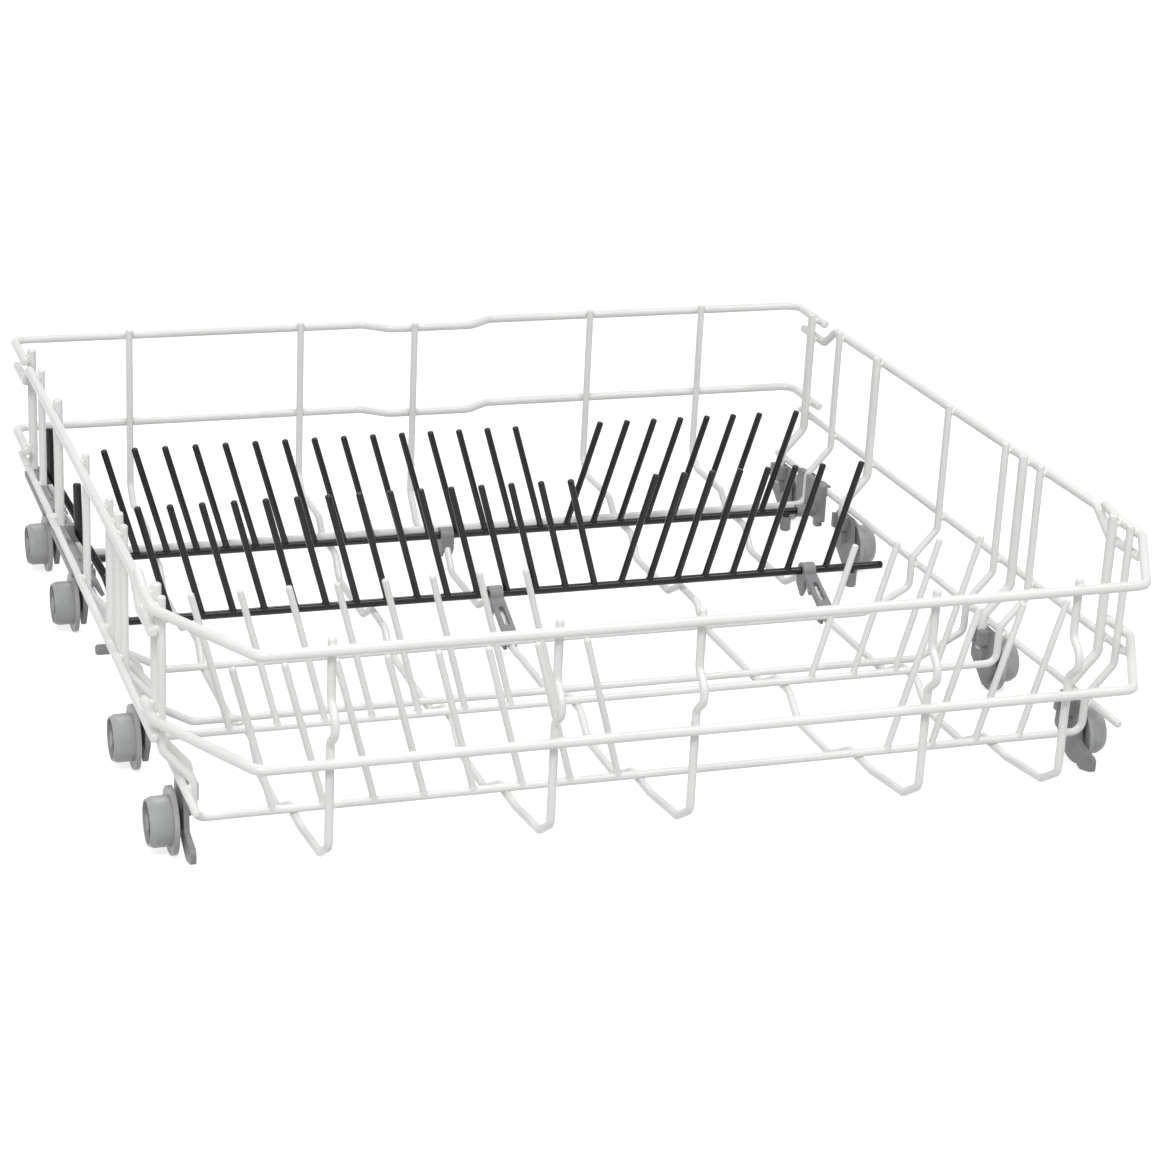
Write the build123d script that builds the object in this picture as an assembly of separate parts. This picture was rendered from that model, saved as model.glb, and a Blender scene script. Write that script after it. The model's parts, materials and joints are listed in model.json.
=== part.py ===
from build123d import *
import os
from math import atan2, degrees

# Lower basket of a dishwasher: coated bent wire, two fold-down tine rows and eight wheels.
# Millimetres. X runs to the right, Y to the back, Z up. The finished basket stands on Z = 0.

# Wire
RAIL_D = 5.0
SIDE_MIDDLE_D = 4.2
LOW_RAIL_D = 4.0
HOOP_D = 4.1
POST_D = 5.2
TINE_D = 3.5
ROD_D = 4.6
FOLD_TINE_D = 3.8
WELD_GAP = 0.01
BEND_R = 6.0
RAIL_BEND_R = 8.0
END_ROUND = 1.2

# Rails: plan and heights of their centre lines
HALF_WIDTH = 250.0
FRONT_Y = -254.5
REAR_Y = 254.5
CORNER_X = 34.0
CORNER_Y = 64.0
TOP_Z = 133.0
MIDDLE_Z = 79.0
SIDE_MIDDLE_Z = 69.5
LOW_RAIL_INSET = 15.0
LOW_RAIL_Z = 41.5
TOP_FRONT_LEG = 40.0
MIDDLE_FRONT_LEG = 25.0
REAR_LEG = 47.0
LEG_LIFT = 4.0
LEG_LIFT_RUN = 15.0
SIDE_DROP = 11.5
SIDE_DROP_RUN = 16.0
SIDE_FRONT_Y = -190.0
SIDE_FRONT_DROP_Y = -160.0
SIDE_REAR_DROP_Y = 207.0
SIDE_REAR_Y = 241.0
SIDE_MIDDLE_Y = (-190.0, 235.0)
LOW_RAIL_Y = (-215.0, 234.0)
RECESS_DEPTH = 11.5
RECESS_LEFT_X = -31.0
RECESS_RIGHT_X = 35.5
RECESS_RAMP = 15.0

# Posts of the side walls
POST_RISE = 4.6
SLOPE_TOP_Z = 62.0
SLOPE_BOTTOM_Z = 45.5
POST_END_Z = 26.0
WHEEL_YS = (217.5, 119.0, -71.0, -169.5)

# Cross hoops, numbered from the back
CROSS_YS = (176.0, 22.0, -49.0, -89.5, -186.0)
CROSS_1_Z = 26.0
CROSS_4_Z = 25.0
CROSS_5_Z = 26.0
SHOULDER_Z = 28.0
LOW_FLOOR_X = 204.0

# Long hoops, numbered from the left; the third stands in the recess of the rear rails
LONG_XS = (-182.5, -78.0, -9.5, 107.7, 182.3)
RECESSED_HOOP = 2
FLOOR_Z = 9.5
BULGE_DEPTH = 8.0
BULGE_TOP_Z = 108.0
BULGE_BOTTOM_Z = 87.0
BULGE_RAMP = 7.0
FRONT_FOOT = (15.0, 10.0)
FRONT_FOOT_LIFT = 4.5
REAR_FOOT = (10.0, 9.0)
RECESS_FOOT = (16.5, 15.5)
REAR_SHELF_Z = 31.0
RECESS_SHELF_Z = 12.5
STEP_RAMP = 11.0
SHELF_TAIL = 13.0
SHELF_RAMP = 23.0
CROSS_BUMP = (18.5, 3.5, 14.5, 35.5)
ROD_BUMP = (26.0, 16.0, 12.0, 30.0)
REAR_BUMP = (15.0, 3.0, 11.0)
FRONT_BUMP_Z = 19.5

# White fixed tines on the two front cross hoops
TINE_TOP_Z = 100.0
TINE_LEAN = 20.0
TINE_PITCH = 24.5
TINE_LEFT_X = -193.2
TINE_LEFT_COUNT = 8
TINE_RIGHT_X = 121.0
TINE_RIGHT_COUNT = 4

# Black fold-down rows
ROD_YS = (59.0, 159.0)
ROD_Z = 28.0
ROD_LEFT_X = -221.0
ROD_RIGHT_X = 230.5
FOLD_RISE = 65.5
FRONT_FOLD_LEAN = 18.2
REAR_FOLD_LEAN = 19.3
FOLD_PITCH = 17.5
FOLD_LEFT_X = -194.4
FOLD_LEFT_COUNT = 15
FOLD_RIGHT_X = 66.0
FOLD_RIGHT_PITCH = 17.2
FOLD_RIGHT_COUNT = 7
FOLD_LAST_X = 193.6
LEVER_ARM = (-226.0, 25.0, 18.0)
LEVER_FOOT = (-239.0, 31.0, 42.0)
LEVER_TOP = (-239.0, 35.0, 69.0)
STUB_X = 211.0
STUB_D = 3.8
STUB_LENGTH = 11.0
CAP_D = 6.6
CAP_LENGTH = 9.0
CAP_END = 1.2

# Grey clips that carry the rods on the long hoops
RUN_CLEARANCE = 0.06
RING_WALL = 2.4
CLIP_WIDTH = 7.6
SADDLE_HALF = 5.5
SADDLE_GRIP = 1.2
CHEEK_DROP = 7.0
CHEEK_TIP_Y = -1.5
CLIP_MOUTH = 3.4
STRAP_T = 3.2
STRAP_TOP = (-5.5, -2.0)
STRAP_FOOT_GAP = 4.0
STRAP_FOOT_Z = 15.0
STRAP_SLOT = (15.0, 3.2)
CLIP_FOOT_LENGTH = 5.5
CLIP_FOOT_DROP = 2.6

# Grey latches of the levers on the left middle rail, with places along Y counted from the rod
LATCH_ENDS = (-29.0, 43.0)
LATCH_LIP = 0.8
LATCH_LIP_DROP = 0.4
LATCH_RIM = 1.5
LATCH_UNDER = 3.3
LATCH_ABOVE = 0.6
LATCH_NOTCH = 9.0
LATCH_SLIT = (-14.5, -9.5)
LATCH_SLIT_DEPTH = 5.0
PANEL_TOP = (3.4, 0.6)
PANEL_FOOT = (17.0, -22.0)
PANEL_T = 2.2
PANEL_BAND = (11.0, 13.0)
TONGUE_FRONT = -10.0
PANEL_CORNER_R = 1.5
PIN_D = 2.2
PIN_PLACE = (7.0, -6.0)
LUG_GAP = 0.8
LUG_LENGTH = 5.0
LUG_REACH = (4.1, 12.6)
LUG_RISE = (-6.5, 3.5)

# Grey holder of the rear rod on the right low rail
HOLDER_WALL = 1.5
HOLDER_PLATE_T = 3.6
HOLDER_ENDS = (-10.0, 28.0)
HOLDER_BARREL = 12.0
HOLDER_BOTTOM_Z = 22.5
HOLDER_TOP_Z = 46.5
HOLDER_SLOT = 5.0
HOLDER_SLOT_Z = 25.0
HOLDER_TONGUE = (-6.0, -0.5)
HOLDER_TONGUE_Z = 18.5
HOLDER_ROUND = 1.0
RAIL_CLIP_WALL = 2.0
RAIL_CLIP_LENGTH = 8.0
RAIL_CLIP_PLACES = (0.0, 23.5)
RAIL_CLIP_MOUTH = 3.2

# Grey stop peg on the second cross hoop
PEG_D = 5.8
PEG_REACH = 8.8
PEG_OVERLAP = 1.0
PEG_FILLET = 1.5

# Wheels and their brackets, described on the right side
AXLE_Z = 18.0
FLANGE_R = 16.6
FLANGE_T = 2.4
ROLLER_R = 12.2
ROLLER_LENGTH = 10.4
ROLLER_CHAMFER = (1.2, 2.6)
RECESS_R = 10.2
RECESS_LENGTH = 7.0
HUB_R = 6.0
HUB_SET_BACK = 2.0
RIB_T = 1.6
RIB_COUNT = 6
RIB_ROOT = 0.6
AXLE_R = 3.0
AXLE_HEAD_R = 4.2
AXLE_HEAD_T = 1.4
AXLE_PLAY = 0.3
SHOULDER_R = 5.0
PLATE_GAP = 2.5
PLATE_T = 2.6
SOCKET_WALL = 1.5
SOCKET_HALF = 4.1
SOCKET_BACK = 1.0
SOCKET_BOTTOM_Z = 21.0
COLLAR_HALF = 6.0
COLLAR_HEIGHT = 9.0
COLLAR_MOUTH = 4.4
SOCKET_ROUND = 0.8
RAIL_CLEARANCE = 0.9
PLATE_TOP_HALF = 11.0
PLATE_HALF = 13.0
PLATE_TIP_Y = -5.0
PLATE_TIP_Z = 5.0
PLATE_CORNER_R = 2.5
FOOT_TIP_Y = -29.0
FOOT_TIP_Z = (8.0, 15.0)
FOOT_SOLE = (-17.5, 5.0)

# Values that follow from the sizes above
POST_TOP_Z = TOP_Z + POST_RISE
LOW_RAIL_X = HALF_WIDTH - LOW_RAIL_INSET
FRONT_POST_Y = FRONT_Y + (RAIL_D + HOOP_D) / 2 + WELD_GAP
BACK_POST_Y = REAR_Y - (RAIL_D + HOOP_D) / 2 - WELD_GAP
HOOP_POST_X = HALF_WIDTH - (RAIL_D + HOOP_D) / 2 - WELD_GAP
HOOP_LOW_X = LOW_RAIL_X - (LOW_RAIL_D + HOOP_D) / 2 - WELD_GAP
WHEEL_POST_X = HALF_WIDTH - (RAIL_D + POST_D) / 2 - WELD_GAP
WHEEL_POST_LOW_X = LOW_RAIL_X - (LOW_RAIL_D + POST_D) / 2 - WELD_GAP
SIDE_MIDDLE_X = HOOP_POST_X + (HOOP_D + SIDE_MIDDLE_D) / 2 + WELD_GAP
HOOP_STEP = HOOP_D + WELD_GAP
LOW_CROSS_Z = FLOOR_Z + HOOP_STEP
GROUND_Z = AXLE_Z - FLANGE_R
PLATE_X = WHEEL_POST_LOW_X + POST_D / 2 + SOCKET_WALL - PLATE_T
WHEEL_X = PLATE_X + PLATE_T + PLATE_GAP
SOCKET_TOP_Z = LOW_RAIL_Z - LOW_RAIL_D / 2 - RAIL_CLEARANCE
FOREMOST_Y = FRONT_POST_Y - BULGE_DEPTH - HOOP_D / 2
REARMOST_Y = REAR_Y + RAIL_D / 2
MIDDLE_Y = (FOREMOST_Y + REARMOST_Y) / 2


def both_sides(points):
    """A path that is alike on both sides, from its left end to its right end."""
    return [(-x, y, z) for x, y, z in reversed(points)] + list(points)


def bent_wire(points, diameter, bend=BEND_R):
    """Round wire along straight runs joined by tangent arcs, with rounded ends."""
    path = FilletPolyline(*points, radius=bend) if len(points) > 2 else Line(*points)
    section = Plane(origin=path @ 0, z_dir=path % 0) * Circle(diameter / 2)
    wire = sweep(section, path=path)
    return fillet(wire.faces().filter_by(GeomType.PLANE).edges(), END_ROUND)


def along_x(radius, start, end, y, z):
    """A cylinder along X."""
    middle = ((start + end) / 2, y, z)
    return Pos(*middle) * Rot(0, 90, 0) * Cylinder(radius, abs(end - start))


def block(x_range, y_range, z_range):
    """A box between three pairs of limits."""
    low = Vector(x_range[0], y_range[0], z_range[0])
    high = Vector(x_range[1], y_range[1], z_range[1])
    size = high - low
    return Pos((low + high) / 2) * Box(size.X, size.Y, size.Z)


def front_rail(z, leg, lift):
    """Rail round the front with cut corners; the ends of its legs may rise."""
    bend_y = FRONT_Y + CORNER_Y
    end_y = bend_y + leg
    half = [(HALF_WIDTH - CORNER_X, FRONT_Y, z), (HALF_WIDTH, bend_y, z)]
    if lift:
        half.append((HALF_WIDTH, end_y - LEG_LIFT_RUN, z))
    half.append((HALF_WIDTH, end_y, z + lift))
    return bent_wire(both_sides(half), RAIL_D, RAIL_BEND_R)


def rear_rail(z):
    """Rail round the back, set forward in a recess near its middle."""
    inner = REAR_Y - RECESS_DEPTH
    half_ramp = RECESS_RAMP / 2
    points = [
        (-HALF_WIDTH, REAR_Y - REAR_LEG, z),
        (-HALF_WIDTH, REAR_Y, z),
        (RECESS_LEFT_X - half_ramp, REAR_Y, z),
        (RECESS_LEFT_X + half_ramp, inner, z),
        (RECESS_RIGHT_X - half_ramp, inner, z),
        (RECESS_RIGHT_X + half_ramp, REAR_Y, z),
        (HALF_WIDTH, REAR_Y, z),
        (HALF_WIDTH, REAR_Y - REAR_LEG, z),
    ]
    return bent_wire(points, RAIL_D, RAIL_BEND_R)


def side_top_rail(side):
    """Side rail at the top, lowered at both ends to pass under the front and rear rails."""
    x = side * HALF_WIDTH
    low = TOP_Z - SIDE_DROP
    points = [
        (x, SIDE_FRONT_Y, low),
        (x, SIDE_FRONT_DROP_Y, low),
        (x, SIDE_FRONT_DROP_Y + SIDE_DROP_RUN, TOP_Z),
        (x, SIDE_REAR_DROP_Y - SIDE_DROP_RUN, TOP_Z),
        (x, SIDE_REAR_DROP_Y, low),
        (x, SIDE_REAR_Y, low),
    ]
    return bent_wire(points, RAIL_D)


def straight_rail(x, y_range, z, diameter):
    """A straight rail along Y."""
    return bent_wire([(x, y_range[0], z), (x, y_range[1], z)], diameter)


def cross_hoop(y, floor_z):
    """Hoop across the basket: two side posts with a sloped foot, and a level floor run."""
    half = [
        (HOOP_LOW_X, y, floor_z),
        (HOOP_LOW_X, y, SLOPE_BOTTOM_Z),
        (HOOP_POST_X, y, SLOPE_TOP_Z),
        (HOOP_POST_X, y, POST_TOP_Z),
    ]
    if floor_z == LOW_CROSS_Z:
        half[0:1] = [(LOW_FLOOR_X, y, floor_z), (HOOP_LOW_X, y, SHOULDER_Z)]
    return bent_wire(both_sides(half), HOOP_D)


def long_hoop(index):
    """Hoop from the front to the back, stepped up under the raised cross hoops and the rods."""
    x = LONG_XS[index]
    recessed = index == RECESSED_HOOP
    back = BACK_POST_Y - (RECESS_DEPTH if recessed else 0)
    shelf = RECESS_SHELF_Z if recessed else REAR_SHELF_Z
    foot_run, foot_rise = RECESS_FOOT if recessed else REAR_FOOT
    front = FRONT_POST_Y
    bulge = front - BULGE_DEPTH
    front_shelf = CROSS_5_Z - HOOP_STEP
    cross_bump = CROSS_4_Z - HOOP_STEP
    rear_bump = CROSS_1_Z - HOOP_STEP
    rod_front, rod_rear = ROD_YS
    cross_1, cross_4, cross_5 = CROSS_YS[0], CROSS_YS[3], CROSS_YS[4]
    profile = [
        (front, POST_TOP_Z),
        (front, BULGE_TOP_Z),
        (bulge, BULGE_TOP_Z - BULGE_RAMP),
        (bulge, BULGE_BOTTOM_Z + BULGE_RAMP),
        (front, BULGE_BOTTOM_Z),
        (front, front_shelf + FRONT_FOOT_LIFT + FRONT_FOOT[1]),
        (front + FRONT_FOOT[0], front_shelf + FRONT_FOOT_LIFT),
        (cross_5 - SHELF_TAIL, front_shelf),
        (cross_5 + SHELF_TAIL, front_shelf),
        (cross_5 + SHELF_TAIL + SHELF_RAMP, FLOOR_Z),
        (cross_4 - CROSS_BUMP[0], FLOOR_Z),
        (cross_4 - CROSS_BUMP[1], cross_bump),
        (cross_4 + CROSS_BUMP[2], cross_bump),
        (cross_4 + CROSS_BUMP[3], FLOOR_Z),
        (rod_front - ROD_BUMP[0], FLOOR_Z),
        (rod_front - ROD_BUMP[1], FRONT_BUMP_Z),
        (rod_front + ROD_BUMP[2], FRONT_BUMP_Z),
        (rod_front + ROD_BUMP[3], FLOOR_Z),
        (rod_rear - REAR_BUMP[0], FLOOR_Z),
        (rod_rear - REAR_BUMP[1], rear_bump),
        (cross_1 + REAR_BUMP[2], rear_bump),
        (cross_1 + REAR_BUMP[2] + STEP_RAMP, shelf),
        (back - foot_run, shelf),
        (back, shelf + foot_rise),
        (back, POST_TOP_Z),
    ]
    return bent_wire([(x, y, z) for y, z in profile], HOOP_D)


def wheel_post(side, y):
    """Thick side post that ends in the socket of a wheel bracket."""
    points = [
        (side * WHEEL_POST_X, y, POST_TOP_Z),
        (side * WHEEL_POST_X, y, SLOPE_TOP_Z),
        (side * WHEEL_POST_LOW_X, y, SLOPE_BOTTOM_Z),
        (side * WHEEL_POST_LOW_X, y, POST_END_Z),
    ]
    return bent_wire(points, POST_D)


def leaning_tines(places, y, carrier_z, carrier_d, top_z, diameter):
    """Tines in one row, each leaning along X, with its foot cut level on the wire that carries it."""
    foot = Plane.XY.offset(carrier_z + carrier_d / 2 + WELD_GAP)
    tines = []
    for x, lean in places:
        tine = bent_wire([(x, y, carrier_z), (x + lean, y, top_z)], diameter)
        tines.append(split(tine, foot).solid())
    return Compound(tines)


def fixed_tines(y, floor_z):
    """White tines on a cross hoop, in two groups that lean apart."""
    left = [(TINE_LEFT_X + TINE_PITCH * i, -TINE_LEAN) for i in range(TINE_LEFT_COUNT)]
    right = [(TINE_RIGHT_X + TINE_PITCH * i, TINE_LEAN) for i in range(TINE_RIGHT_COUNT)]
    return leaning_tines(left + right, y, floor_z, HOOP_D, TINE_TOP_Z, TINE_D)


def fold_tines(rod_y, lean):
    """Black tines on a rod, in two groups that lean apart; the last one stands beyond a clip."""
    left = [(FOLD_LEFT_X + FOLD_PITCH * i, -lean) for i in range(FOLD_LEFT_COUNT)]
    right = [(FOLD_RIGHT_X + FOLD_RIGHT_PITCH * i, lean) for i in range(FOLD_RIGHT_COUNT)]
    places = left + right + [(FOLD_LAST_X, lean)]
    return leaning_tines(places, rod_y, ROD_Z, ROD_D, ROD_Z + FOLD_RISE, FOLD_TINE_D)


def fold_rod(rod_y):
    """Rod of a fold-down row, bent into a lever at its left end, with a stub near its right end."""
    lever = [(x, rod_y + back, ROD_Z + rise) for x, back, rise in (LEVER_TOP, LEVER_FOOT, LEVER_ARM)]
    rod = bent_wire(lever + [(ROD_LEFT_X, rod_y, ROD_Z), (ROD_RIGHT_X, rod_y, ROD_Z)], ROD_D)
    return rod + bent_wire([(STUB_X, rod_y, ROD_Z), (STUB_X, rod_y, ROD_Z - STUB_LENGTH)], STUB_D)


def stub_cap(rod_y, rod):
    """Soft cap over the stub of a fold-down row."""
    bottom = ROD_Z - STUB_LENGTH - CAP_END
    cap = Pos(STUB_X, rod_y, bottom + CAP_LENGTH / 2) * Cylinder(CAP_D / 2, CAP_LENGTH)
    cap = fillet(cap.faces().sort_by(Axis.Z)[0].edges(), END_ROUND)
    return cap - rod


def extruded_across(sketch, middle_x, width):
    """A profile drawn in Y and Z, extruded along X about middle_x."""
    return extrude(Plane.YZ.offset(middle_x - width / 2) * sketch, width)


def ring_and_saddle(rod_y, bump_z):
    """Profile of a clip: a ring round the rod on a saddle whose cheeks point down past the hoop."""
    ring = Pos(rod_y, ROD_Z) * Circle(ROD_D / 2 + RUN_CLEARANCE + RING_WALL)
    front, rear = rod_y - SADDLE_HALF, rod_y + SADDLE_HALF
    grip = bump_z - SADDLE_GRIP
    tip = (rod_y + CHEEK_TIP_Y, bump_z - CHEEK_DROP)
    saddle = Polyline((front, ROD_Z), (rear, ROD_Z), (rear, grip), tip, (front, grip), close=True)
    return ring + make_face(saddle)


def hoop_mouth(x, rod_y, bump_z):
    """The way in from below for the hoop that a clip sits on."""
    x_range = (x - CLIP_MOUTH / 2, x + CLIP_MOUTH / 2)
    return block(x_range, (rod_y - SADDLE_HALF, rod_y + SADDLE_HALF), (0, bump_z))


def rod_bore(rod_y, start, end):
    """The running bore for a rod."""
    return along_x(ROD_D / 2 + RUN_CLEARANCE, start, end, rod_y, ROD_Z)


def short_clip(x, rod_y, bump_z, hoop):
    """Clip of a rod on a long hoop."""
    clip = extruded_across(ring_and_saddle(rod_y, bump_z), x, CLIP_WIDTH) - hoop_mouth(x, rod_y, bump_z)
    return clip - rod_bore(rod_y, x - CLIP_WIDTH, x + CLIP_WIDTH) - hoop


def strap_clip(x, rod_y, bump_z, hoop):
    """Clip with a slotted strap that runs forward and straddles the low run of the hoop."""
    top = Vector(rod_y + STRAP_TOP[0], ROD_Z + STRAP_TOP[1])
    foot_y = CROSS_YS[1] + HOOP_D / 2 + STRAP_FOOT_GAP
    foot = Vector(foot_y, STRAP_FOOT_Z)
    run = top - foot
    angle = degrees(atan2(run.Y, run.X))
    middle = (top + foot) / 2
    strap = Pos(middle.X, middle.Y) * Rot(0, 0, angle) * SlotCenterToCenter(run.length, STRAP_T)
    clip = extruded_across(ring_and_saddle(rod_y, bump_z) + strap, x, CLIP_WIDTH)
    clip -= hoop_mouth(x, rod_y, bump_z)
    face = Plane(origin=(x, middle.X, middle.Y), x_dir=(0, run.X, run.Y), z_dir=(0, -run.Y, run.X))
    clip -= extrude(face * SlotOverall(*STRAP_SLOT), STRAP_T, both=True)
    inner = HOOP_D / 2
    for side in (-1, 1):
        x_range = sorted((x + side * inner, x + side * CLIP_WIDTH / 2))
        y_range = (foot_y - STRAP_T / 2, foot_y - STRAP_T / 2 + CLIP_FOOT_LENGTH)
        clip += block(x_range, y_range, (FLOOR_Z - CLIP_FOOT_DROP, STRAP_FOOT_Z))
    return clip - rod_bore(rod_y, x - CLIP_WIDTH, x + CLIP_WIDTH) - hoop


def latch_panel(rod_y, notch):
    """Sloped panel of a latch in two pieces, with a tongue below the one in front of the notch."""
    rail = Vector(-SIDE_MIDDLE_X, rod_y, SIDE_MIDDLE_Z)
    top = rail + Vector(PANEL_TOP[0], 0, PANEL_TOP[1])
    slope = Vector(PANEL_TOP[0] - PANEL_FOOT[0], 0, PANEL_TOP[1] - PANEL_FOOT[1])
    face = Plane(origin=top, x_dir=(0, 1, 0), z_dir=(slope.Z, 0, -slope.X))
    front, rear = LATCH_ENDS
    slit_front, slit_rear = LATCH_SLIT
    front_band, rear_band = PANEL_BAND
    main = [
        (front, 0),
        (slit_front, 0),
        (slit_front, -LATCH_SLIT_DEPTH),
        (slit_rear, -LATCH_SLIT_DEPTH),
        (slit_rear, 0),
        (notch[0], 0),
        (notch[0], -slope.length),
        (TONGUE_FRONT, -slope.length),
        (slit_front, -rear_band),
        (front, -front_band),
    ]
    tail = [(notch[1], 0), (rear, 0), (rear, -front_band), (notch[1], -rear_band)]
    pieces = []
    for outline in (main, tail):
        piece = make_face(Polyline(*outline, close=True))
        pieces.append(extrude(face * fillet(piece.vertices(), PANEL_CORNER_R), PANEL_T / 2, both=True))
    pin_hole = extrude(face * Pos(*PIN_PLACE) * Circle(PIN_D / 2), PANEL_T, both=True)
    return pieces[0] + pieces[1] - pin_hole


def lever_latch(rod_y):
    """Clip under the left middle rail: a sloped panel, and a lug behind the upright lever of a row."""
    rail_x, rail_z = -SIDE_MIDDLE_X, SIDE_MIDDLE_Z
    rail_r = SIDE_MIDDLE_D / 2
    y_range = (rod_y + LATCH_ENDS[0], rod_y + LATCH_ENDS[1])
    x_range = (rail_x - rail_r - LATCH_LIP, rail_x + rail_r + LATCH_RIM)
    top_z = rail_z + LATCH_ABOVE
    channel = block(x_range, y_range, (rail_z - LATCH_UNDER, top_z))
    channel -= block((rail_x - rail_r, rail_x + rail_r), y_range, (rail_z, top_z))
    channel -= block((x_range[0], rail_x), y_range, (rail_z - LATCH_LIP_DROP, top_z))
    middle = CROSS_YS[0] - ROD_YS[1]
    notch = (middle - LATCH_NOTCH / 2, middle + LATCH_NOTCH / 2)
    channel -= block((rail_x, x_range[1]), (rod_y + notch[0], rod_y + notch[1]), (0, top_z))
    lug_y = rod_y + LEVER_FOOT[1] + ROD_D / 2 + LUG_GAP
    lug_x = (rail_x + LUG_REACH[0], rail_x + LUG_REACH[1])
    lug_z = (rail_z + LUG_RISE[0], rail_z + LUG_RISE[1])
    lug = block(lug_x, (lug_y, lug_y + LUG_LENGTH), lug_z)
    lug = fillet(lug.edges().filter_by(Axis.Y), PANEL_CORNER_R)
    rail = Pos(rail_x, rod_y, rail_z) * Rot(90, 0, 0) * Cylinder(rail_r, 4 * LATCH_ENDS[1])
    return channel + latch_panel(rod_y, notch) + lug - rail


def rod_holder(rod_y):
    """Holder of the rear rod's right end: barrel, plate slotted for a post, clips on the low rail."""
    plate_end = LOW_RAIL_X - LOW_RAIL_D / 2
    plate_start = plate_end - HOLDER_PLATE_T
    barrel_r = ROD_D / 2 + HOLDER_WALL
    barrel_start = plate_start - HOLDER_BARREL
    barrel = along_x(barrel_r, barrel_start, plate_start, rod_y, ROD_Z)
    sides = (rod_y + HOLDER_ENDS[0], rod_y + HOLDER_ENDS[1])
    plate = block((plate_start, plate_end), sides, (HOLDER_BOTTOM_Z, HOLDER_TOP_Z))
    tongue_y = (rod_y + HOLDER_TONGUE[0], rod_y + HOLDER_TONGUE[1])
    plate += block((plate_start, plate_end), tongue_y, (HOLDER_TONGUE_Z, HOLDER_BOTTOM_Z))
    plate = fillet(plate.edges().filter_by(Axis.X), HOLDER_ROUND)
    slot_y = (CROSS_YS[0] - HOLDER_SLOT / 2, CROSS_YS[0] + HOLDER_SLOT / 2)
    plate -= block((plate_start, plate_end), slot_y, (HOLDER_SLOT_Z, HOLDER_TOP_Z))
    holder = barrel + plate
    clip_r = LOW_RAIL_D / 2 + RAIL_CLIP_WALL
    mouth_z = (LOW_RAIL_Z - RAIL_CLIP_MOUTH / 2, LOW_RAIL_Z + RAIL_CLIP_MOUTH / 2)
    rail_axis = Pos(LOW_RAIL_X, rod_y, LOW_RAIL_Z) * Rot(90, 0, 0)
    for place in RAIL_CLIP_PLACES:
        clip = Pos(0, place, 0) * rail_axis * Cylinder(clip_r, RAIL_CLIP_LENGTH)
        holder += clip - block((LOW_RAIL_X, LOW_RAIL_X + clip_r), sides, mouth_z)
    holder -= rail_axis * Cylinder(LOW_RAIL_D / 2, 4 * HOLDER_ENDS[1])
    return holder - rod_bore(rod_y, barrel_start, ROD_RIGHT_X + RUN_CLEARANCE)


def stop_peg(hoop):
    """Round cap that points outwards from the left shoulder of the second cross hoop."""
    start = -HOOP_LOW_X - HOOP_D / 2 - PEG_REACH
    peg = along_x(PEG_D / 2, start, PEG_OVERLAP - HOOP_LOW_X, CROSS_YS[1], SHOULDER_Z)
    return fillet(peg.faces().sort_by(Axis.X)[0].edges(), PEG_FILLET) - hoop


def on_side(side, solid):
    """A solid described on the right side, or its mirror image on the left."""
    return solid if side > 0 else mirror(solid, Plane.YZ)


def bracket_plate(y, footed):
    """Plate behind a wheel with a pointed lower edge, or with a forward foot on the front wheels."""
    top = [(-PLATE_TOP_HALF, SOCKET_TOP_Z), (PLATE_TOP_HALF, SOCKET_TOP_Z), (PLATE_HALF, AXLE_Z)]
    tip = [(PLATE_TIP_Y, PLATE_TIP_Z)]
    if footed:
        tip = [FOOT_SOLE, (FOOT_TIP_Y, FOOT_TIP_Z[0]), (FOOT_TIP_Y, FOOT_TIP_Z[1])]
    outline = make_face(Polyline(*top, *tip, (-PLATE_HALF, AXLE_Z), close=True))
    outline = fillet(outline.vertices(), PLATE_CORNER_R)
    return Pos(PLATE_X, y, 0) * extrude(Plane.YZ * outline, PLATE_T)


def wheel_bracket(y, footed):
    """Bracket on the lower end of a wheel post: open collar, socket, plate and axle with a snap head."""
    inner_x = WHEEL_POST_LOW_X - POST_D / 2 - SOCKET_WALL
    plate_face = PLATE_X + PLATE_T
    collar_z = (SOCKET_TOP_Z - COLLAR_HEIGHT, SOCKET_TOP_Z)
    socket_x = (WHEEL_POST_LOW_X - SOCKET_BACK, plate_face)
    socket = block(socket_x, (y - SOCKET_HALF, y + SOCKET_HALF), (SOCKET_BOTTOM_Z, collar_z[0]))
    collar = block((inner_x, plate_face), (y - COLLAR_HALF, y + COLLAR_HALF), collar_z)
    socket = fillet((socket + collar).edges().filter_by(Axis.X), SOCKET_ROUND)
    mouth = block((inner_x, WHEEL_POST_LOW_X), (y - COLLAR_MOUTH / 2, y + COLLAR_MOUTH / 2), collar_z)
    post_hole = Pos(WHEEL_POST_LOW_X, y, (POST_END_Z + LOW_RAIL_Z) / 2)
    post_hole *= Cylinder(POST_D / 2, LOW_RAIL_Z - POST_END_Z)
    hub_end = WHEEL_X + FLANGE_T + ROLLER_LENGTH - HUB_SET_BACK
    head = hub_end + AXLE_PLAY
    bracket = socket - mouth + bracket_plate(y, footed)
    bracket += along_x(SHOULDER_R, plate_face, WHEEL_X - AXLE_PLAY, y, AXLE_Z)
    bracket += along_x(AXLE_R, plate_face, head, y, AXLE_Z)
    bracket += along_x(AXLE_HEAD_R, head, head + AXLE_HEAD_T, y, AXLE_Z)
    return bracket - post_hole


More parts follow.
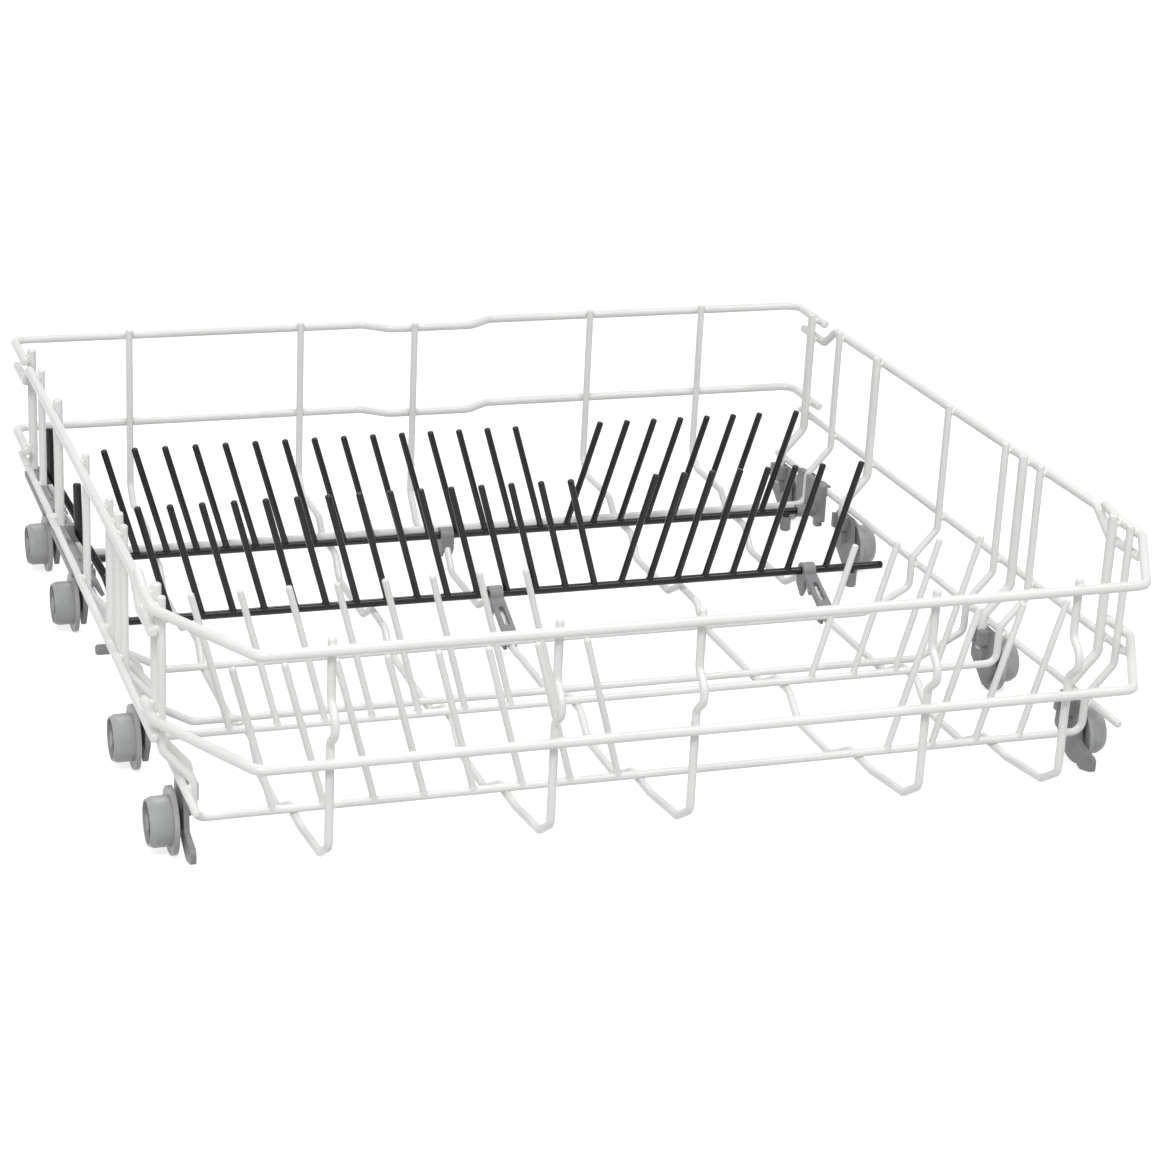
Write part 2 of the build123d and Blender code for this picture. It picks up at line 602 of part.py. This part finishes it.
def wheel(y):
    """Flanged roller with a ribbed recess in its outer end."""
    end = FLANGE_T + ROLLER_LENGTH
    bore = AXLE_R + RUN_CLEARANCE
    floor = end - RECESS_LENGTH
    hub_end = end - HUB_SET_BACK
    profile = Polyline(
        (bore, 0),
        (FLANGE_R, 0),
        (FLANGE_R, FLANGE_T),
        (ROLLER_R, FLANGE_T),
        (ROLLER_R, end - ROLLER_CHAMFER[1]),
        (ROLLER_R - ROLLER_CHAMFER[0], end),
        (RECESS_R, end),
        (RECESS_R, floor),
        (HUB_R, floor),
        (HUB_R, hub_end),
        (bore, hub_end),
        close=True,
    )
    body = revolve(make_face(Plane.XZ * profile), Axis.Z)
    rib_length = RECESS_R - HUB_R + 2 * RIB_ROOT
    rib_height = hub_end - floor
    for place in PolarLocations((RECESS_R + HUB_R) / 2, RIB_COUNT):
        body += place * Pos(0, 0, floor + rib_height / 2) * Box(rib_length, RIB_T, rib_height)
    return Pos(WHEEL_X, y, AXLE_Z) * Rot(0, 90, 0) * body


def build_frame():
    """Rails, hoops, posts and fixed tines, by node name."""
    nodes = {
        "front_top_rail": front_rail(TOP_Z, TOP_FRONT_LEG, LEG_LIFT),
        "rear_top_rail": rear_rail(TOP_Z),
        "front_middle_rail": front_rail(MIDDLE_Z, MIDDLE_FRONT_LEG, 0),
        "rear_middle_rail": rear_rail(MIDDLE_Z),
    }
    for name, side in (("left", -1), ("right", 1)):
        nodes[f"{name}_top_rail"] = side_top_rail(side)
        nodes[f"{name}_middle_rail"] = straight_rail(
            side * SIDE_MIDDLE_X, SIDE_MIDDLE_Y, SIDE_MIDDLE_Z, SIDE_MIDDLE_D
        )
        nodes[f"{name}_low_rail"] = straight_rail(side * LOW_RAIL_X, LOW_RAIL_Y, LOW_RAIL_Z, LOW_RAIL_D)
        for number, y in enumerate(WHEEL_YS, 1):
            nodes[f"{name}_wheel_post_{number}"] = wheel_post(side, y)
    for index in range(len(LONG_XS)):
        nodes[f"long_hoop_{index + 1}"] = long_hoop(index)
    floor_zs = (CROSS_1_Z, LOW_CROSS_Z, LOW_CROSS_Z, CROSS_4_Z, CROSS_5_Z)
    for number, (y, floor_z) in enumerate(zip(CROSS_YS, floor_zs), 1):
        nodes[f"cross_hoop_{number}"] = cross_hoop(y, floor_z)
    nodes["middle_fixed_tines"] = fixed_tines(CROSS_YS[3], CROSS_4_Z)
    nodes["front_fixed_tines"] = fixed_tines(CROSS_YS[4], CROSS_5_Z)
    return nodes


def build_fold_rows(frame):
    """The two fold-down rows and the grey pieces that carry them, by node name."""
    front_y, rear_y = ROD_YS
    rear_bump_z = CROSS_1_Z - HOOP_STEP
    nodes = {}
    rows = (("front", front_y, FRONT_FOLD_LEAN), ("rear", rear_y, REAR_FOLD_LEAN))
    for name, rod_y, lean in rows:
        rod = fold_rod(rod_y)
        nodes[f"{name}_fold_rod"] = rod
        nodes[f"{name}_fold_tines"] = fold_tines(rod_y, lean)
        nodes[f"{name}_stub_cap"] = stub_cap(rod_y, rod)
        nodes[f"{name}_lever_latch"] = lever_latch(rod_y)
    nodes["front_middle_clip"] = strap_clip(LONG_XS[2], front_y, FRONT_BUMP_Z, frame["long_hoop_3"])
    nodes["front_right_clip"] = strap_clip(LONG_XS[4], front_y, FRONT_BUMP_Z, frame["long_hoop_5"])
    nodes["rear_middle_clip"] = short_clip(LONG_XS[2], rear_y, rear_bump_z, frame["long_hoop_3"])
    nodes["rear_right_holder"] = rod_holder(rear_y)
    nodes["stop_peg"] = stop_peg(frame["cross_hoop_2"])
    return nodes


def build_wheels():
    """Wheels and brackets of both sides, by node name."""
    nodes = {}
    for number, y in enumerate(WHEEL_YS, 1):
        footed = number == len(WHEEL_YS)
        for name, side in (("left", -1), ("right", 1)):
            nodes[f"{name}_wheel_bracket_{number}"] = on_side(side, wheel_bracket(y, footed))
            nodes[f"{name}_wheel_{number}"] = on_side(side, wheel(y))
    return nodes


frame = build_frame()
parts = {**frame, **build_fold_rows(frame), **build_wheels()}
os.makedirs("parts", exist_ok=True)
for node_name, solid in parts.items():
    # The origin lies under the middle of the basket's outline, where the wheel flanges stand.
    export_step(Pos(0, -MIDDLE_Y, -GROUND_Z) * solid, f"parts/{node_name}.step")
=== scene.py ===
import json
from math import cos, pi, radians, sin

import bpy
import numpy as np
from mathutils import Matrix, Vector
from mathutils.bvhtree import BVHTree


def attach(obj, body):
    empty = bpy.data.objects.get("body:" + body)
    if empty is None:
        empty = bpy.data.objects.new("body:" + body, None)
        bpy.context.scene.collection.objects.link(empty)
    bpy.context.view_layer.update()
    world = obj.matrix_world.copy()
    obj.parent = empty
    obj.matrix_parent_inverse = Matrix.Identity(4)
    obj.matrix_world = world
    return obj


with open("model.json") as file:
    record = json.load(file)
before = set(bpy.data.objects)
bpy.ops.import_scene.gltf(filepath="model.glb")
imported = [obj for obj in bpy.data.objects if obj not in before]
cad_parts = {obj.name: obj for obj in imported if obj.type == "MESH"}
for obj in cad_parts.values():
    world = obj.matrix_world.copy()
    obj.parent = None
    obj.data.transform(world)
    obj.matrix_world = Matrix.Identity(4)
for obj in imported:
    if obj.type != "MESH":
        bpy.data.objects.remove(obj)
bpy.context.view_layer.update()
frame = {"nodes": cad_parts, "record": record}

# Sizes in this file are metres unless a name says millimetres.
MM = 0.001

# The photograph's view: its size, lens and centre in pixels, its direction and tilt in degrees, the point
# that is looked at and how far off it is.
PICTURE = 1159
FOCAL_PIXELS = 2782
VIEW_CENTRE_PIXELS = (546.4, 553.2)
AZIMUTH = -18.98
ELEVATION = 20.05
ROLL = 2.64
LOOK_AT = Vector((0, 1.495, 71.6)) * MM
DISTANCE = 1.5092
SENSOR_MM = 36
NEAREST_SEEN = 0.05

# Finishes: real sizes of their patterns in millimetres, strengths of their bumps, and spreads of their gloss
DRIFT_STOPS = (0.35, 0.65)
COAT_DRIFT_MM = 60
COAT_FLOW_MM = 5
COAT_WAVE_MM = 0.12
COAT_BUMP = 0.25
COAT_GLOSS = (-0.05, 0.08)
NYLON_IOR = 1.53
PLASTIC_DRIFT_MM = 14
GRAIN_MM = 0.15
GRAIN_DRAWN_COARSER = 4
GRAIN_DEPTH_MM = 0.06
GRAIN_BUMP = 0.3
GRAIN_GLOSS = (-0.08, 0.08)
POLYPROPYLENE_IOR = 1.49


def linear(hex_colour):
    """An sRGB hex colour as linear RGBA."""
    parts = [int(hex_colour[i:i + 2], 16) / 255 for i in (1, 3, 5)]
    return [c / 12.92 if c <= 0.04045 else ((c + 0.055) / 1.055) ** 2.4 for c in parts] + [1]


def add(tree, kind, settings=None, **inputs):
    """A new node of a tree: settings are its properties, and inputs its values or the sockets linked to them.

    An input goes by its name, with _ for a space, or by its number, as i0.
    """
    node = tree.nodes.new(kind)
    for name, value in (settings or {}).items():
        setattr(node, name, value)
    for name, value in inputs.items():
        by_number = name[0] == "i" and name[1:].isdigit()
        socket = node.inputs[int(name[1:]) if by_number else name.replace("_", " ")]
        if isinstance(value, bpy.types.NodeSocket):
            tree.links.new(value, socket)
        else:
            socket.default_value = value
    return node


def blank(name):
    """A new material with an empty node tree, and its output node."""
    material = bpy.data.materials.new(name)
    material.use_nodes = True
    material.node_tree.nodes.clear()
    return material, material.node_tree, material.node_tree.nodes.new("ShaderNodeOutputMaterial")


def mottled(tree, colours, size_mm, coordinates):
    """A colour that drifts between two hex colours over patches of a real size."""
    noise = add(tree, "ShaderNodeTexNoise", Vector=coordinates, Scale=1 / (size_mm * MM), Detail=2.0)
    ramp = add(tree, "ShaderNodeValToRGB", Fac=noise.outputs["Fac"])
    for stop, position, colour in zip(ramp.color_ramp.elements, DRIFT_STOPS, colours):
        stop.position = position
        stop.color = linear(colour)
    return ramp.outputs["Color"]


def nylon_on_wire(name, colours, roughness, shine):
    """Nylon powder fused onto steel wire: a thick satin-gloss skin with a soft, uneven flow."""
    material, tree, output = blank(name)
    place = add(tree, "ShaderNodeTexCoord").outputs["Object"]
    colour = mottled(tree, colours, COAT_DRIFT_MM, place)
    wave = 1 / (COAT_FLOW_MM * MM)
    flow = add(tree, "ShaderNodeTexNoise", Vector=place, Scale=wave, Detail=1.5).outputs["Fac"]
    gloss = add(tree, "ShaderNodeMapRange", Value=flow, To_Min=roughness + COAT_GLOSS[0],
                To_Max=roughness + COAT_GLOSS[1])
    bump = add(tree, "ShaderNodeBump", Height=flow, Strength=COAT_BUMP, Distance=COAT_WAVE_MM * MM)
    shader = add(tree, "ShaderNodeBsdfPrincipled", Base_Color=colour, Roughness=gloss.outputs["Result"],
                 Normal=bump.outputs["Normal"], IOR=NYLON_IOR, Specular_IOR_Level=shine)
    tree.links.new(shader.outputs["BSDF"], output.inputs["Surface"])
    return material


def moulded_polypropylene(name, colours, roughness):
    """Moulded polypropylene: matt satin with the fine spark-eroded grain of the mould."""
    material, tree, output = blank(name)
    place = add(tree, "ShaderNodeTexCoord").outputs["Object"]
    colour = mottled(tree, colours, PLASTIC_DRIFT_MM, place)
    # The real grain is too fine to show in a picture of the whole basket, so it is drawn coarser.
    grain_size = GRAIN_MM * GRAIN_DRAWN_COARSER * MM
    grain = add(tree, "ShaderNodeTexNoise", Vector=place, Scale=1 / grain_size, Detail=2.0).outputs["Fac"]
    gloss = add(tree, "ShaderNodeMapRange", Value=grain, To_Min=roughness + GRAIN_GLOSS[0],
                To_Max=roughness + GRAIN_GLOSS[1])
    bump = add(tree, "ShaderNodeBump", Height=grain, Strength=GRAIN_BUMP, Distance=GRAIN_DEPTH_MM * MM)
    shader = add(tree, "ShaderNodeBsdfPrincipled", Base_Color=colour, Roughness=gloss.outputs["Result"],
                 Normal=bump.outputs["Normal"], IOR=POLYPROPYLENE_IOR)
    tree.links.new(shader.outputs["BSDF"], output.inputs["Surface"])
    return material


# White coat: fused powder reads as a bright, faintly warm skin with soft light lines along the wire.
white_nylon = nylon_on_wire("white nylon coating on steel wire", ("#F3F3F1", "#EDEDEB"), 0.15, 0.5)
# Black coat: the same skin with soot in it, near black, with dimmer light lines.
black_nylon = nylon_on_wire("black nylon coating on steel wire", ("#0B0B0C", "#111112"), 0.15, 0.42)
# Clips, latches and brackets: moulded polypropylene reads as a dull mid grey, softly grained.
grey_clips = moulded_polypropylene("grey polypropylene, moulded", ("#929394", "#87888A"), 0.44)
# Wheels: the same plastic, paler and a little smoother where they roll.
grey_wheels = moulded_polypropylene("grey polypropylene, moulded wheels", ("#B2B3B4", "#A8A9AA"), 0.38)
finishes = {
    "white_coating": white_nylon,
    "black_coating": black_nylon,
    "grey_plastic": grey_clips,
    "wheel_plastic": grey_wheels,
}
for part in frame["record"]["subparts"]:
    shown = frame["nodes"][part["node"]]
    shown.data.materials.clear()
    shown.data.materials.append(finishes[part["material_slot"]])


# Wire diameters in millimetres, by a word in the wire's name; the first word that fits counts.
WIRE_MM = (
    ("fold_tines", 3.8),
    ("fixed_tines", 3.5),
    ("fold_rod", 4.6),
    ("wheel_post", 5.2),
    ("low_rail", 4.0),
    ("left_middle", 4.2),
    ("right_middle", 4.2),
    ("hoop", 4.1),
    ("rail", 5.0),
)

# Where two wires count as welded, and how closely that place is searched for
TOUCH = 0.15 * MM
NEAR = 2 * MM
EDGE_SAMPLES = 60
SETTLING_STEPS = 30
LEAST_CROSSING_SINE = 0.5

# Pools of coating at the welds; shares are of a wire's radius
POOL_STEPS = 20
POOL_PROFILE = 6
POOL_SINK = 0.06 * MM
POOL_ROOT = 0.4 * MM
POOL_GAP = 0.8 * MM
POOL_REACH = 0.7 * MM
WAIST_STEP = 0.02 * MM
WIDEST_WAIST = 0.9
WIDEST_RIM = 0.97


def wire_radius(name):
    """Half the diameter of a wire."""
    return next(size for word, size in WIRE_MM if word in name) / 2 * MM


class Wire:
    """A wire of the frame: its surface, its box and the direction in which it runs at each facet."""

    def __init__(self, name):
        mesh = frame["nodes"][name].data
        self.radius = wire_radius(name)
        self.points = np.array([v.co for v in mesh.vertices])
        self.edges = np.array([e.vertices[:] for e in mesh.edges])
        self.facets = [p.vertices[:] for p in mesh.polygons]
        self.corners = [[mesh.corner_normals[i].vector for i in p.loop_indices] for p in mesh.polygons]
        self.tree = BVHTree.FromPolygons([Vector(p) for p in self.points], self.facets)
        self.low = self.points.min(0)
        self.high = self.points.max(0)

    def runs_along(self, facet):
        """Direction of the wire at a facet: square to the surface normals of the facet's corners."""
        a, b, c = self.corners[facet]
        return max((a.cross(b), b.cross(c), c.cross(a)), key=lambda v: v.length).normalized()

    def samples_inside(self, low, high):
        """Points along the facets' edges that lie in a box."""
        start, end = self.points[self.edges[:, 0]], self.points[self.edges[:, 1]]
        near = np.all((np.minimum(start, end) <= high) & (np.maximum(start, end) >= low), axis=1)
        steps = np.linspace(0, 1, EDGE_SAMPLES)[:, None, None]
        spread = (start[near] * (1 - steps) + end[near] * steps).reshape(-1, 3)
        return spread[np.all((spread >= low) & (spread <= high), axis=1)]


def weld_place(first, second):
    """Where two wires touch: the two touching points and the facets they are on, or None."""
    low = np.maximum(first.low, second.low) - TOUCH
    high = np.minimum(first.high, second.high) + TOUCH
    if np.any(low > high):
        return None
    best = None
    for point in first.samples_inside(low, high):
        hit = second.tree.find_nearest(Vector(point), NEAR)
        if hit[0] is not None and (best is None or hit[3] < best[3]):
            best = hit
    if best is None:
        return None
    on_second = best
    for _ in range(SETTLING_STEPS):
        on_first = first.tree.find_nearest(on_second[0])
        on_second = second.tree.find_nearest(on_first[0])
    return (on_first, on_second) if on_second[3] < TOUCH else None


def ringed_solid(rings, bottom, top):
    """Points and faces of a closed solid from rings of points and its two end points."""
    count = len(rings[0])
    points = [p for ring in rings for p in ring] + [bottom, top]
    faces = []
    for level in range(len(rings) - 1):
        for i in range(count):
            a, b = level * count + i, level * count + (i + 1) % count
            faces.append((a, b, b + count, a + count))
    last = (len(rings) - 1) * count
    for i in range(count):
        faces.append((len(points) - 2, (i + 1) % count, i))
        faces.append((len(points) - 1, last + i, last + (i + 1) % count))
    return points, faces


def drawn_in(start, bend, end):
    """Points of a curve from start to end that is drawn in towards bend."""
    steps = [i / (POOL_PROFILE - 1) for i in range(POOL_PROFILE)]
    return [start * (1 - t) ** 2 + bend * 2 * t * (1 - t) + end * t * t for t in steps]


def pool_between(first, second, on_first, on_second):
    """Coating that has run together round a weld of two crossing wires, or None where they run alongside."""
    along_first = first.runs_along(on_first[2])
    along_second = second.runs_along(on_second[2])
    axis = along_first.cross(along_second)
    if axis.length < LEAST_CROSSING_SINE:
        return None
    axis = axis.normalized()
    if axis.dot(on_first[1]) < 0:
        axis = -axis
    across = axis.cross(along_first)
    middle = (on_first[0] + on_second[0]) / 2

    def fall(radius, share, distance):
        """How far a wire's surface has dropped at a distance from the weld."""
        offset = min(distance * share, WIDEST_RIM * radius)
        return radius - (radius * radius - offset * offset) ** 0.5

    columns = []
    for i in range(POOL_STEPS):
        turn = 2 * pi * i / POOL_STEPS
        away = cos(turn) * along_first + sin(turn) * across
        shares = (away.cross(along_first).length, away.cross(along_second).length)
        waist = 0
        limit = WIDEST_WAIST * min(first.radius, second.radius)
        gap = 0
        while waist < limit and gap < POOL_GAP:
            waist += WAIST_STEP
            gap = fall(first.radius, shares[0], waist) + fall(second.radius, shares[1], waist)
        rim = waist + POOL_REACH
        down = fall(first.radius, shares[0], rim) + POOL_SINK
        rise = fall(second.radius, shares[1], rim) + POOL_SINK
        start = middle + away * rim - axis * down
        end = middle + away * rim + axis * rise
        bend = middle + away * (2 * waist - rim) + axis * (rise - down) / 2
        columns.append(drawn_in(start, bend, end))
    rings = list(zip(*columns))
    return ringed_solid(rings, middle - axis * POOL_ROOT, middle + axis * POOL_ROOT)


# Points of a mesh nearer than this are one point.
SAME_POINT = 0.002 * MM


def islands(mesh):
    """The separate solids of a mesh, each as a list of its points."""
    parent = list(range(len(mesh.vertices)))

    def root(i):
        while parent[i] != i:
            parent[i] = parent[parent[i]]
            i = parent[i]
        return i

    places = {}
    for vertex in mesh.vertices:
        key = tuple(round(c / SAME_POINT) for c in vertex.co)
        parent[vertex.index] = places.setdefault(key, vertex.index)
    for edge in mesh.edges:
        a, b = (root(i) for i in edge.vertices)
        parent[a] = b
    groups = {}
    for vertex in mesh.vertices:
        groups.setdefault(root(vertex.index), []).append(vertex.co.copy())
    return list(groups.values())


# Pools of coating at the feet of the tines
FOOT_RISE = 1.0 * MM
FOOT_SPREAD = 0.5 * MM
FOOT_BEND_RISE = 0.1 * MM
FOOT_BEND_OUT = 0.1 * MM
FOOT_WIDEST = 0.94
LEVEL = 0.05 * MM


def box_middle(points):
    """Middle of the box that holds some points."""
    return Vector([(min(p[i] for p in points) + max(p[i] for p in points)) / 2 for i in range(3)])


def foot_pool(points, radius, carrier_radius):
    """Coating that has run together round the foot of a leaning tine on the wire below it."""
    lowest = min(p.z for p in points)
    highest = max(p.z for p in points)
    foot = box_middle([p for p in points if p.z < lowest + LEVEL])
    tip = box_middle([p for p in points if p.z > highest - radius])
    axis = (tip - foot).normalized()
    stretch = radius / axis.z
    columns = []
    for i in range(POOL_STEPS):
        turn = 2 * pi * i / POOL_STEPS
        x, y = cos(turn), sin(turn)
        aside = min(abs(y) * (radius + FOOT_SPREAD), FOOT_WIDEST * carrier_radius)
        fall = carrier_radius - (carrier_radius ** 2 - aside ** 2) ** 0.5
        start = foot + Vector((x * (stretch + FOOT_SPREAD), aside if y > 0 else -aside, -fall - POOL_SINK))
        bend = foot + Vector((x * (stretch + FOOT_BEND_OUT), y * (radius + FOOT_BEND_OUT), FOOT_BEND_RISE))
        end = foot + axis * FOOT_RISE + Vector((x * stretch, y * radius, 0)) * (1 - POOL_SINK / radius)
        columns.append(drawn_in(start, bend, end))
    rings = list(zip(*columns))
    return ringed_solid(rings, foot - Vector((0, 0, carrier_radius)), foot + axis * FOOT_RISE)


def coating_piece(name, solids, material, body):
    """One piece made of many small closed solids, which rides on a body."""
    points, faces = [], []
    for solid_points, solid_faces in solids:
        faces += [[i + len(points) for i in face] for face in solid_faces]
        points += solid_points
    mesh = bpy.data.meshes.new(name)
    mesh.from_pydata(points, [], faces)
    mesh.shade_smooth()
    mesh.materials.append(material)
    piece = bpy.data.objects.new(name, mesh)
    bpy.context.scene.collection.objects.link(piece)
    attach(piece, body)


def coat_the_welds():
    """Pools of coating at the frame's crossings and at the feet of all tines."""
    nodes = frame["nodes"]
    wires = [Wire(n) for n in sorted(nodes) if n.endswith("rail") or "hoop" in n or "post" in n]
    pools = []
    for number, first in enumerate(wires):
        for second in wires[number + 1:]:
            found = weld_place(first, second)
            pool = found and pool_between(first, second, *found)
            if pool:
                pools.append(pool)
    for node, carrier in (("middle_fixed_tines", "cross_hoop_4"), ("front_fixed_tines", "cross_hoop_5")):
        pools += [foot_pool(p, wire_radius(node), wire_radius(carrier)) for p in islands(nodes[node].data)]
    coating_piece("weld_coating", pools, white_nylon, "frame")
    for row in ("front", "rear"):
        tines, rod = f"{row}_fold_tines", f"{row}_fold_rod"
        feet = [foot_pool(p, wire_radius(tines), wire_radius(rod)) for p in islands(nodes[tines].data)]
        coating_piece(f"{row}_tine_feet", feet, black_nylon, f"{row}_fold_row")


coat_the_welds()


# The stage: floor, room light, and lamps by name, place, point faced, width and height, and watts
FLOOR_SIZE = 5
FLOOR_PAPER = "#C4C4C4"
FLOOR_WHITE = 0.74
ROOM_LIGHT = 0.36
BASKET_MIDDLE = (0, 0, 0.05)
LAMPS = (
    ("key lamp", (-1.1, -1.8, 2.0), BASKET_MIDDLE, (0.8, 0.8), 34),
    ("overhead lamp", (0.75, -0.9, 2.2), (0.75, 0, 0.05), (1.6, 0.6), 16),
    ("rear lamp", (0.3, 1.6, 1.9), BASKET_MIDDLE, (0.8, 0.8), 10),
)


def soft_lamp(name, place, aim, size, watts):
    """A studio lamp box, given by its width and height, that faces a point."""
    lamp = bpy.data.lights.new(name, "AREA")
    lamp.shape = "RECTANGLE"
    lamp.size, lamp.size_y = size
    lamp.energy = watts
    holder = bpy.data.objects.new(name, lamp)
    bpy.context.scene.collection.objects.link(holder)
    holder.location = place
    holder.rotation_euler = (Vector(aim) - Vector(place)).to_track_quat("-Z", "Y").to_euler()


def white_to_the_eye(tree, lit, share):
    """Adds plain white to a shader, only for what the camera, reflections and clear things see."""
    path = add(tree, "ShaderNodeLightPath")
    seen = add(tree, "ShaderNodeMath", {"operation": "MAXIMUM"}, i0=path.outputs["Is Camera Ray"],
               i1=path.outputs["Is Glossy Ray"])
    seen = add(tree, "ShaderNodeMath", {"operation": "MAXIMUM"}, i0=seen.outputs[0],
               i1=path.outputs["Is Transmission Ray"])
    strength = add(tree, "ShaderNodeMath", {"operation": "MULTIPLY"}, i0=seen.outputs[0], i1=share)
    glow = add(tree, "ShaderNodeEmission", Strength=strength.outputs[0])
    both = add(tree, "ShaderNodeAddShader", i0=lit, i1=glow.outputs[0])
    return both.outputs[0]


def set_stage():
    """A pale floor under the wheels, soft lamps and an even, bright room."""
    bpy.ops.mesh.primitive_plane_add(size=FLOOR_SIZE, location=(0, 0, 0))
    floor = bpy.context.object
    floor.name = "floor"
    material, tree, output = blank("pale paper")
    paper = add(tree, "ShaderNodeBsdfDiffuse", Color=linear(FLOOR_PAPER))
    tree.links.new(white_to_the_eye(tree, paper.outputs[0], FLOOR_WHITE), output.inputs["Surface"])
    floor.data.materials.append(material)
    world = bpy.data.worlds.new("bright room")
    bpy.context.scene.world = world
    world.use_nodes = True
    world.node_tree.nodes.clear()
    tree = world.node_tree
    room = add(tree, "ShaderNodeBackground", Color=(1, 1, 1, 1), Strength=ROOM_LIGHT)
    shown = white_to_the_eye(tree, room.outputs[0], 1 - ROOM_LIGHT)
    end = tree.nodes.new("ShaderNodeOutputWorld")
    tree.links.new(shown, end.inputs["Surface"])
    for lamp in LAMPS:
        soft_lamp(*lamp)


def set_camera():
    """The photograph's camera, with its lens, tilt and picture offset."""
    az, el, roll = radians(AZIMUTH), radians(ELEVATION), radians(ROLL)
    ahead = Vector((-sin(az) * cos(el), cos(az) * cos(el), -sin(el)))
    right = Vector((cos(az), sin(az), 0))
    up = right.cross(ahead)
    tilted_right = cos(roll) * right + sin(roll) * up
    tilted_up = cos(roll) * up - sin(roll) * right
    data = bpy.data.cameras.new("camera")
    data.sensor_fit = "HORIZONTAL"
    data.sensor_width = SENSOR_MM
    data.lens = SENSOR_MM * FOCAL_PIXELS / PICTURE
    data.shift_x = 0.5 - VIEW_CENTRE_PIXELS[0] / PICTURE
    data.shift_y = VIEW_CENTRE_PIXELS[1] / PICTURE - 0.5
    data.clip_start = NEAREST_SEEN
    camera = bpy.data.objects.new("camera", data)
    bpy.context.scene.collection.objects.link(camera)
    turn = Matrix((tilted_right, tilted_up, -ahead)).transposed().to_4x4()
    camera.matrix_world = Matrix.Translation(LOOK_AT - ahead * DISTANCE) @ turn
    bpy.context.scene.camera = camera


set_stage()
set_camera()
bpy.context.scene.view_settings.view_transform = "Standard"
